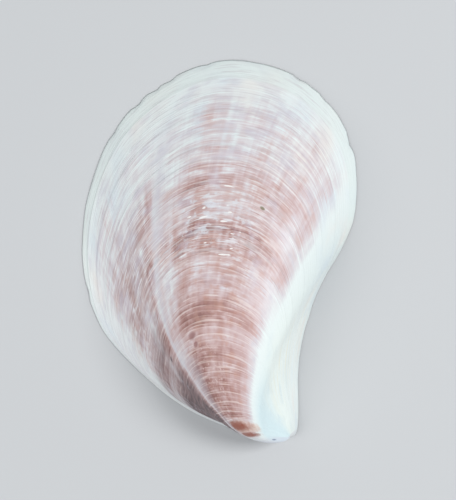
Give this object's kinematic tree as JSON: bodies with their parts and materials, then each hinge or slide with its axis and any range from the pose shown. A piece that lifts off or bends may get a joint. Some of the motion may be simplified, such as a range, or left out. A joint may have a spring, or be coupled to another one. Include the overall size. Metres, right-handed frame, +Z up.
{
  "type": "twisted mussel shell valve",
  "caption": "Hollow valve of a twisted mussel, laid outside up on its flat rim: a humped, fan-shaped shell with a curled beak and growth ledges.",
  "frame": {"origin": "on the table, under the middle of the shell's box", "axes": "+X across the shell towards its concave side, +Y from the beak to the broad far end, +Z up, out of the shell's back"},
  "size_m": [0.064, 0.0889, 0.021],
  "materials": {
    "shell": "satin natural shell, cool white with pinkish brown rays and fine growth lines"
  },
  "bodies": {
    "root": {"valve": "shell"}
  },
  "joints": []
}
